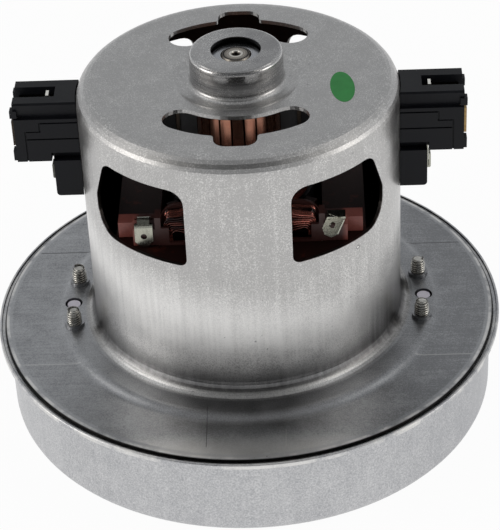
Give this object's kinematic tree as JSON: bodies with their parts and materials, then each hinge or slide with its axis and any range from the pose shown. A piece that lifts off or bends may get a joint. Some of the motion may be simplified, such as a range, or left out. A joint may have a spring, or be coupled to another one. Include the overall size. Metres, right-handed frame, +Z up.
{
  "type": "vacuum motor unit",
  "caption": "Vacuum cleaner motor: drawn steel housing with side windows, side brush holders and a shallow round fan casing below.",
  "frame": {"origin": "on the shaft axis, in the plane of the fan casing bottom face", "axes": "+Z up along the shaft to the bearing boss, X along the two brush holders, Y along the field poles, the pictured side is -Y"},
  "size_m": [0.138, 0.138, 0.1061],
  "materials": {
    "zinc_steel": "zinc plated drawn sheet, satin with fine speckle",
    "casing_steel": "zinc plated drawn sheet, pale satin",
    "bracket_steel": "zinc plated sheet",
    "white_plastic": "moulded plastic",
    "screw_steel": "nickel plated",
    "seal_felt": "pressed felt",
    "lamination_steel": "stamped sheet, dull",
    "bobbin_plastic": "red brown moulded plastic",
    "enamel_copper": "enamelled copper wire",
    "tinned_metal": "tinned strip",
    "black_plastic": "black moulded plastic, satin",
    "brass_sheet": "plain brass",
    "spring_steel": "drawn wire",
    "copper": "turned copper",
    "carbon": "pressed carbon",
    "bearing_steel": "ground steel",
    "shield_steel": "pressed sheet",
    "shaft_steel": "ground steel",
    "insulator": "fibre board",
    "phenolic": "moulded resin",
    "aluminium": "pressed sheet"
  },
  "bodies": {
    "motor_body": {"motor_housing": "zinc_steel", "fan_casing": "casing_steel", "drive_end_bracket": "bracket_steel", "diffuser": "white_plastic", "clamp_screws": "screw_steel", "inlet_seal_ring": "seal_felt", "stator_core": "lamination_steel", "bobbin_front": "bobbin_plastic", "bobbin_rear": "bobbin_plastic", "coil_core_front": "enamel_copper", "coil_core_rear": "enamel_copper", "field_winding_front": "enamel_copper", "field_winding_rear": "enamel_copper", "terminal_tabs_front": "tinned_metal", "terminal_tabs_rear": "tinned_metal", "brush_holder_left": "black_plastic", "brush_holder_right": "black_plastic", "brush_tube_left": "brass_sheet", "brush_tube_right": "brass_sheet", "brush_cap_left": "brass_sheet", "brush_cap_right": "brass_sheet", "brush_terminal_left": "tinned_metal", "brush_terminal_right": "tinned_metal", "brush_spring_left": "spring_steel", "brush_spring_right": "spring_steel", "brush_lead_left": "copper", "brush_lead_right": "copper", "upper_bearing_outer_ring": "bearing_steel", "lower_bearing_outer_ring": "bearing_steel", "upper_bearing_shields": "shield_steel", "lower_bearing_shields": "shield_steel", "preload_washer": "spring_steel"},
    "rotor": {"shaft": "shaft_steel", "armature_core": "lamination_steel", "armature_insulators": "insulator", "armature_winding": "enamel_copper", "commutator_hub": "phenolic", "commutator_bars": "copper", "commutator_spacer": "phenolic", "upper_bearing_inner_ring": "bearing_steel", "lower_bearing_inner_ring": "bearing_steel", "impeller_spacer": "shaft_steel", "impeller_washers": "shaft_steel", "impeller_back_plate": "aluminium", "impeller_shroud": "aluminium", "impeller_blades": "aluminium", "impeller_nut": "screw_steel"},
    "brush_left": {"carbon_brush_left": "carbon"},
    "brush_right": {"carbon_brush_right": "carbon"},
    "upper_cage": {"upper_ball_cage": "bearing_steel"},
    "lower_cage": {"lower_ball_cage": "bearing_steel"}
  },
  "joints": [
    {"name": "rotor_spin", "type": "hinge", "parent": "motor_body", "child": "rotor", "pos_m": [0, 0, 0], "axis": [0, 0, 1], "continuous": true},
    {"name": "brush_left_slide", "type": "slide", "parent": "motor_body", "child": "brush_left", "axis": [-1, 0, 0], "range_m": [0, 0.006], "stiffness_N_per_m": 150, "springref_m": -0.02, "deforming": ["brush_spring_left", "brush_lead_left"]},
    {"name": "brush_right_slide", "type": "slide", "parent": "motor_body", "child": "brush_right", "axis": [1, 0, 0], "range_m": [0, 0.006], "stiffness_N_per_m": 150, "springref_m": -0.02, "deforming": ["brush_spring_right", "brush_lead_right"]},
    {"name": "upper_cage_spin", "type": "hinge", "parent": "motor_body", "child": "upper_cage", "pos_m": [0, 0, 0], "axis": [0, 0, 1], "continuous": true},
    {"name": "lower_cage_spin", "type": "hinge", "parent": "motor_body", "child": "lower_cage", "pos_m": [0, 0, 0], "axis": [0, 0, 1], "continuous": true}
  ],
  "couplings": [
    {"joint": "upper_cage_spin", "follows": "rotor_spin", "ratio": 0.39},
    {"joint": "lower_cage_spin", "follows": "rotor_spin", "ratio": 0.39}
  ]
}
